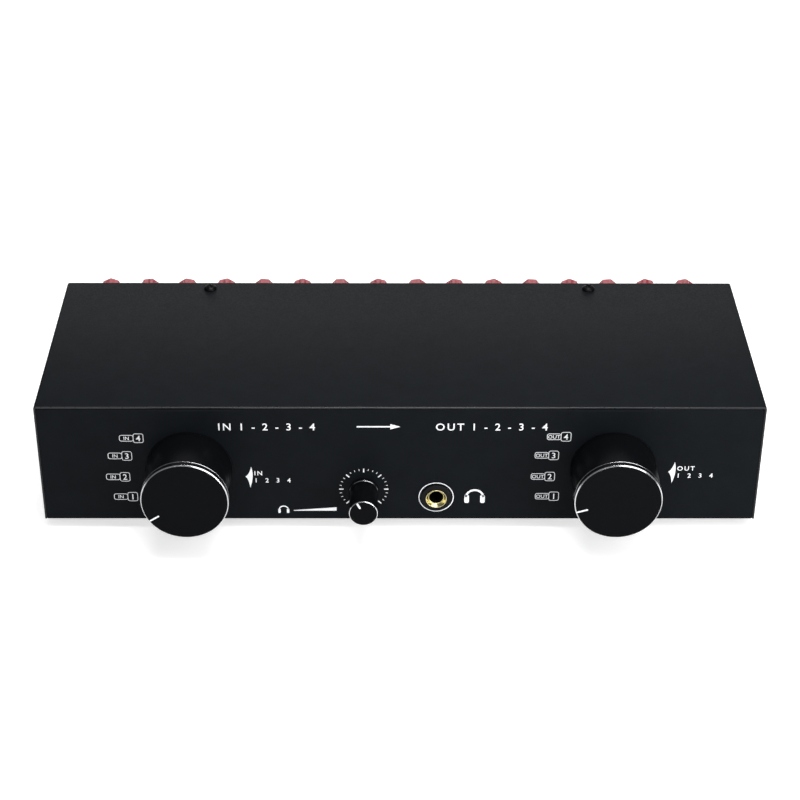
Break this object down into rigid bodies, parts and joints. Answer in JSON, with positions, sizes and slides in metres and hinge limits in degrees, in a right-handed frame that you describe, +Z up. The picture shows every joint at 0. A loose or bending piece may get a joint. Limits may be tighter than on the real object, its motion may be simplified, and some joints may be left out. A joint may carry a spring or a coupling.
{
  "type": "speaker selector switch",
  "caption": "Black steel speaker selector box with two selector knobs, a headphone volume knob and jack in front, and rows of red and black binding posts behind.",
  "frame": {"origin": "on the surface under the feet, below the middle of the case", "axes": "+X to the right seen from the front, +Y from the front panel to the rear panel, +Z up"},
  "size_m": [0.325, 0.167, 0.0674],
  "materials": {
    "powder_coat": "fine satin black powder coat",
    "black_screw": "black oxide",
    "foot_rubber": "matt",
    "black_anodised": "black anodised, bright chamfer",
    "plated_steel": "nickel plated",
    "switch_plastic": "moulded",
    "gold_plate": "gold plated",
    "black_plastic": "moulded, gloss",
    "red_plastic": "moulded, gloss, slightly clear",
    "board": "fibreglass board"
  },
  "bodies": {
    "case": {"chassis": "powder_coat", "top_cover": "powder_coat", "cover_screws": "black_screw", "rubber_feet": "foot_rubber", "input_switch_housing": "switch_plastic", "output_switch_housing": "switch_plastic", "volume_pot_body": "switch_plastic", "switch_nuts": "plated_steel", "headphone_jack_bush": "gold_plate", "headphone_jack_body": "switch_plastic", "headphone_jack_nut": "black_plastic", "headphone_board": "board", "red_post_collars": "red_plastic", "black_post_collars": "black_plastic", "red_post_stems": "gold_plate", "black_post_stems": "gold_plate", "post_nuts": "black_plastic"},
    "input_selector": {"input_knob": "black_anodised", "input_switch_shaft": "plated_steel"},
    "output_selector": {"output_knob": "black_anodised", "output_switch_shaft": "plated_steel"},
    "headphone_volume": {"volume_knob": "black_anodised", "volume_pot_shaft": "plated_steel"},
    "red_cap_01": {"red_cap_01": "red_plastic"},
    "red_cap_02": {"red_cap_02": "red_plastic"},
    "red_cap_03": {"red_cap_03": "red_plastic"},
    "red_cap_04": {"red_cap_04": "red_plastic"},
    "red_cap_05": {"red_cap_05": "red_plastic"},
    "red_cap_06": {"red_cap_06": "red_plastic"},
    "red_cap_07": {"red_cap_07": "red_plastic"},
    "red_cap_08": {"red_cap_08": "red_plastic"},
    "red_cap_09": {"red_cap_09": "red_plastic"},
    "red_cap_10": {"red_cap_10": "red_plastic"},
    "red_cap_11": {"red_cap_11": "red_plastic"},
    "red_cap_12": {"red_cap_12": "red_plastic"},
    "red_cap_13": {"red_cap_13": "red_plastic"},
    "red_cap_14": {"red_cap_14": "red_plastic"},
    "red_cap_15": {"red_cap_15": "red_plastic"},
    "red_cap_16": {"red_cap_16": "red_plastic"},
    "black_cap_01": {"black_cap_01": "black_plastic"},
    "black_cap_02": {"black_cap_02": "black_plastic"},
    "black_cap_03": {"black_cap_03": "black_plastic"},
    "black_cap_04": {"black_cap_04": "black_plastic"},
    "black_cap_05": {"black_cap_05": "black_plastic"},
    "black_cap_06": {"black_cap_06": "black_plastic"},
    "black_cap_07": {"black_cap_07": "black_plastic"},
    "black_cap_08": {"black_cap_08": "black_plastic"},
    "black_cap_09": {"black_cap_09": "black_plastic"},
    "black_cap_10": {"black_cap_10": "black_plastic"},
    "black_cap_11": {"black_cap_11": "black_plastic"},
    "black_cap_12": {"black_cap_12": "black_plastic"},
    "black_cap_13": {"black_cap_13": "black_plastic"},
    "black_cap_14": {"black_cap_14": "black_plastic"},
    "black_cap_15": {"black_cap_15": "black_plastic"},
    "black_cap_16": {"black_cap_16": "black_plastic"}
  },
  "joints": [
    {"name": "input_selector_turn", "type": "hinge", "parent": "case", "child": "input_selector", "pos_m": [-0.0949, -0.05675, 0.0332], "axis": [0, 1, 0], "range_deg": [0, 67.5]},
    {"name": "output_selector_turn", "type": "hinge", "parent": "case", "child": "output_selector", "pos_m": [0.0959, -0.05675, 0.0332], "axis": [0, 1, 0], "range_deg": [-22.5, 45]},
    {"name": "headphone_volume_turn", "type": "hinge", "parent": "case", "child": "headphone_volume", "pos_m": [-0.0165, -0.05675, 0.0215], "axis": [0, 1, 0], "range_deg": [-113, 167]},
    {"name": "terminal_cap_red_01_slide", "type": "slide", "parent": "case", "child": "red_cap_01", "axis": [0, 1, 0], "range_m": [0, 0.0045]},
    {"name": "terminal_cap_red_02_slide", "type": "slide", "parent": "case", "child": "red_cap_02", "axis": [0, 1, 0], "range_m": [0, 0.0045]},
    {"name": "terminal_cap_red_03_slide", "type": "slide", "parent": "case", "child": "red_cap_03", "axis": [0, 1, 0], "range_m": [0, 0.0045]},
    {"name": "terminal_cap_red_04_slide", "type": "slide", "parent": "case", "child": "red_cap_04", "axis": [0, 1, 0], "range_m": [0, 0.0045]},
    {"name": "terminal_cap_red_05_slide", "type": "slide", "parent": "case", "child": "red_cap_05", "axis": [0, 1, 0], "range_m": [0, 0.0045]},
    {"name": "terminal_cap_red_06_slide", "type": "slide", "parent": "case", "child": "red_cap_06", "axis": [0, 1, 0], "range_m": [0, 0.0045]},
    {"name": "terminal_cap_red_07_slide", "type": "slide", "parent": "case", "child": "red_cap_07", "axis": [0, 1, 0], "range_m": [0, 0.0045]},
    {"name": "terminal_cap_red_08_slide", "type": "slide", "parent": "case", "child": "red_cap_08", "axis": [0, 1, 0], "range_m": [0, 0.0045]},
    {"name": "terminal_cap_red_09_slide", "type": "slide", "parent": "case", "child": "red_cap_09", "axis": [0, 1, 0], "range_m": [0, 0.0045]},
    {"name": "terminal_cap_red_10_slide", "type": "slide", "parent": "case", "child": "red_cap_10", "axis": [0, 1, 0], "range_m": [0, 0.0045]},
    {"name": "terminal_cap_red_11_slide", "type": "slide", "parent": "case", "child": "red_cap_11", "axis": [0, 1, 0], "range_m": [0, 0.0045]},
    {"name": "terminal_cap_red_12_slide", "type": "slide", "parent": "case", "child": "red_cap_12", "axis": [0, 1, 0], "range_m": [0, 0.0045]},
    {"name": "terminal_cap_red_13_slide", "type": "slide", "parent": "case", "child": "red_cap_13", "axis": [0, 1, 0], "range_m": [0, 0.0045]},
    {"name": "terminal_cap_red_14_slide", "type": "slide", "parent": "case", "child": "red_cap_14", "axis": [0, 1, 0], "range_m": [0, 0.0045]},
    {"name": "terminal_cap_red_15_slide", "type": "slide", "parent": "case", "child": "red_cap_15", "axis": [0, 1, 0], "range_m": [0, 0.0045]},
    {"name": "terminal_cap_red_16_slide", "type": "slide", "parent": "case", "child": "red_cap_16", "axis": [0, 1, 0], "range_m": [0, 0.0045]},
    {"name": "terminal_cap_black_01_slide", "type": "slide", "parent": "case", "child": "black_cap_01", "axis": [0, 1, 0], "range_m": [0, 0.0045]},
    {"name": "terminal_cap_black_02_slide", "type": "slide", "parent": "case", "child": "black_cap_02", "axis": [0, 1, 0], "range_m": [0, 0.0045]},
    {"name": "terminal_cap_black_03_slide", "type": "slide", "parent": "case", "child": "black_cap_03", "axis": [0, 1, 0], "range_m": [0, 0.0045]},
    {"name": "terminal_cap_black_04_slide", "type": "slide", "parent": "case", "child": "black_cap_04", "axis": [0, 1, 0], "range_m": [0, 0.0045]},
    {"name": "terminal_cap_black_05_slide", "type": "slide", "parent": "case", "child": "black_cap_05", "axis": [0, 1, 0], "range_m": [0, 0.0045]},
    {"name": "terminal_cap_black_06_slide", "type": "slide", "parent": "case", "child": "black_cap_06", "axis": [0, 1, 0], "range_m": [0, 0.0045]},
    {"name": "terminal_cap_black_07_slide", "type": "slide", "parent": "case", "child": "black_cap_07", "axis": [0, 1, 0], "range_m": [0, 0.0045]},
    {"name": "terminal_cap_black_08_slide", "type": "slide", "parent": "case", "child": "black_cap_08", "axis": [0, 1, 0], "range_m": [0, 0.0045]},
    {"name": "terminal_cap_black_09_slide", "type": "slide", "parent": "case", "child": "black_cap_09", "axis": [0, 1, 0], "range_m": [0, 0.0045]},
    {"name": "terminal_cap_black_10_slide", "type": "slide", "parent": "case", "child": "black_cap_10", "axis": [0, 1, 0], "range_m": [0, 0.0045]},
    {"name": "terminal_cap_black_11_slide", "type": "slide", "parent": "case", "child": "black_cap_11", "axis": [0, 1, 0], "range_m": [0, 0.0045]},
    {"name": "terminal_cap_black_12_slide", "type": "slide", "parent": "case", "child": "black_cap_12", "axis": [0, 1, 0], "range_m": [0, 0.0045]},
    {"name": "terminal_cap_black_13_slide", "type": "slide", "parent": "case", "child": "black_cap_13", "axis": [0, 1, 0], "range_m": [0, 0.0045]},
    {"name": "terminal_cap_black_14_slide", "type": "slide", "parent": "case", "child": "black_cap_14", "axis": [0, 1, 0], "range_m": [0, 0.0045]},
    {"name": "terminal_cap_black_15_slide", "type": "slide", "parent": "case", "child": "black_cap_15", "axis": [0, 1, 0], "range_m": [0, 0.0045]},
    {"name": "terminal_cap_black_16_slide", "type": "slide", "parent": "case", "child": "black_cap_16", "axis": [0, 1, 0], "range_m": [0, 0.0045]}
  ]
}
